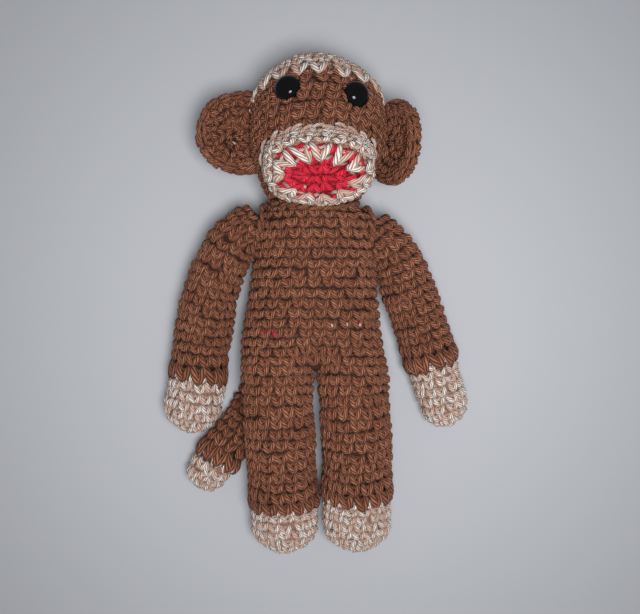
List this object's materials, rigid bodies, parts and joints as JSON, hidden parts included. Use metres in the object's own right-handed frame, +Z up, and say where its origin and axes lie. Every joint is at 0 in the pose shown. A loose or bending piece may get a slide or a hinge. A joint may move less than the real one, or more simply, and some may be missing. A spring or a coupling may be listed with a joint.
{
  "type": "crocheted monkey doll",
  "caption": "Crocheted sock monkey doll lying on its back, with a stuffed body, sewn arms, round ears, a cream muzzle with a red mouth, and a tail under its leg.",
  "frame": {"origin": "on the table, under the middle of the lying doll", "axes": "+Z up out of the doll's chest, +Y towards the head, +X to the doll's own left side"},
  "size_m": [0.1564, 0.2561, 0.0783],
  "materials": {
    "brown_yarn": "matte",
    "cream_yarn": "matte",
    "red_yarn": "matte",
    "eye_plastic": "gloss",
    "washer_plastic": "matte",
    "polyester_fill": "matte"
  },
  "bodies": {
    "torso": {"torso": "brown_yarn", "torso_stuffing": "polyester_fill", "right_hip": "brown_yarn", "left_hip": "brown_yarn", "tail_root": "brown_yarn", "tail_root_stuffing": "polyester_fill"},
    "neck": {"neck_seam": "brown_yarn"},
    "head": {"head": "brown_yarn", "head_cap": "cream_yarn", "head_stuffing": "polyester_fill", "muzzle": "cream_yarn", "mouth": "red_yarn", "muzzle_stuffing": "polyester_fill", "muzzle_seam": "cream_yarn", "right_eye": "eye_plastic", "left_eye": "eye_plastic", "right_eye_washer": "washer_plastic", "left_eye_washer": "washer_plastic"},
    "right_ear": {"right_ear": "brown_yarn"},
    "left_ear": {"left_ear": "brown_yarn"},
    "right_shoulder": {"right_shoulder_seam": "brown_yarn"},
    "right_arm": {"right_arm": "brown_yarn", "right_hand": "cream_yarn", "right_arm_stuffing": "polyester_fill"},
    "left_shoulder": {"left_shoulder_seam": "brown_yarn"},
    "left_arm": {"left_arm": "brown_yarn", "left_hand": "cream_yarn", "left_arm_stuffing": "polyester_fill"},
    "right_leg": {"right_leg": "brown_yarn", "right_foot": "cream_yarn", "right_leg_stuffing": "polyester_fill"},
    "left_leg": {"left_leg": "brown_yarn", "left_foot": "cream_yarn", "left_leg_stuffing": "polyester_fill"},
    "tail": {"tail": "brown_yarn", "tail_tip": "cream_yarn", "tail_stuffing": "polyester_fill"}
  },
  "joints": [
    {"name": "neck_turn", "type": "hinge", "parent": "torso", "child": "neck", "pos_m": [-0.0012, 0.0372, 0.0243], "axis": [0, 1, 0], "range_deg": [-30, 30], "stiffness_Nm_per_rad": 0.02, "deforming": ["neck_seam"]},
    {"name": "head_nod", "type": "hinge", "parent": "neck", "child": "head", "pos_m": [-0.0012, 0.0372, 0.0243], "axis": [1, 0, 0], "range_deg": [-8, 8], "stiffness_Nm_per_rad": 0.02, "deforming": ["neck_seam"]},
    {"name": "right_ear_flap", "type": "hinge", "parent": "head", "child": "right_ear", "pos_m": [-0.0327, 0.0875, 0.0343], "axis": [0, 1, 0], "range_deg": [-20, 20], "stiffness_Nm_per_rad": 0.01},
    {"name": "left_ear_flap", "type": "hinge", "parent": "head", "child": "left_ear", "pos_m": [0.0363, 0.0821, 0.0343], "axis": [0, -1, 0], "range_deg": [-20, 20], "stiffness_Nm_per_rad": 0.01},
    {"name": "right_arm_lift", "type": "hinge", "parent": "torso", "child": "right_shoulder", "pos_m": [-0.0355, 0.0388, 0.025], "axis": [-1, 0, 0], "range_deg": [0, 90], "stiffness_Nm_per_rad": 0.02, "deforming": ["right_shoulder_seam"]},
    {"name": "right_arm_raise", "type": "hinge", "parent": "right_shoulder", "child": "right_arm", "pos_m": [-0.0355, 0.0388, 0.025], "axis": [0, 0, -1], "range_deg": [0, 80], "stiffness_Nm_per_rad": 0.02, "deforming": ["right_shoulder_seam"]},
    {"name": "left_arm_lift", "type": "hinge", "parent": "torso", "child": "left_shoulder", "pos_m": [0.0345, 0.0388, 0.025], "axis": [-1, 0, 0], "range_deg": [0, 90], "stiffness_Nm_per_rad": 0.02, "deforming": ["left_shoulder_seam"]},
    {"name": "left_arm_raise", "type": "hinge", "parent": "left_shoulder", "child": "left_arm", "pos_m": [0.0345, 0.0388, 0.025], "axis": [0, 0, 1], "range_deg": [0, 80], "stiffness_Nm_per_rad": 0.02, "deforming": ["left_shoulder_seam"]},
    {"name": "right_leg_lift", "type": "hinge", "parent": "torso", "child": "right_leg", "pos_m": [-0.0193, -0.0446, 0.03], "axis": [-1, 0, 0], "range_deg": [0, 65], "stiffness_Nm_per_rad": 0.03, "deforming": ["right_hip"]},
    {"name": "left_leg_lift", "type": "hinge", "parent": "torso", "child": "left_leg", "pos_m": [0.0194, -0.0446, 0.03], "axis": [-1, 0, 0], "range_deg": [0, 65], "stiffness_Nm_per_rad": 0.03, "deforming": ["left_hip"]},
    {"name": "tail_bend", "type": "hinge", "parent": "torso", "child": "tail", "pos_m": [-0.03746, -0.06147, 0.00746], "axis": [0.088, 0.1235, 0.9884], "range_deg": [0, 12], "stiffness_Nm_per_rad": 0.01}
  ]
}
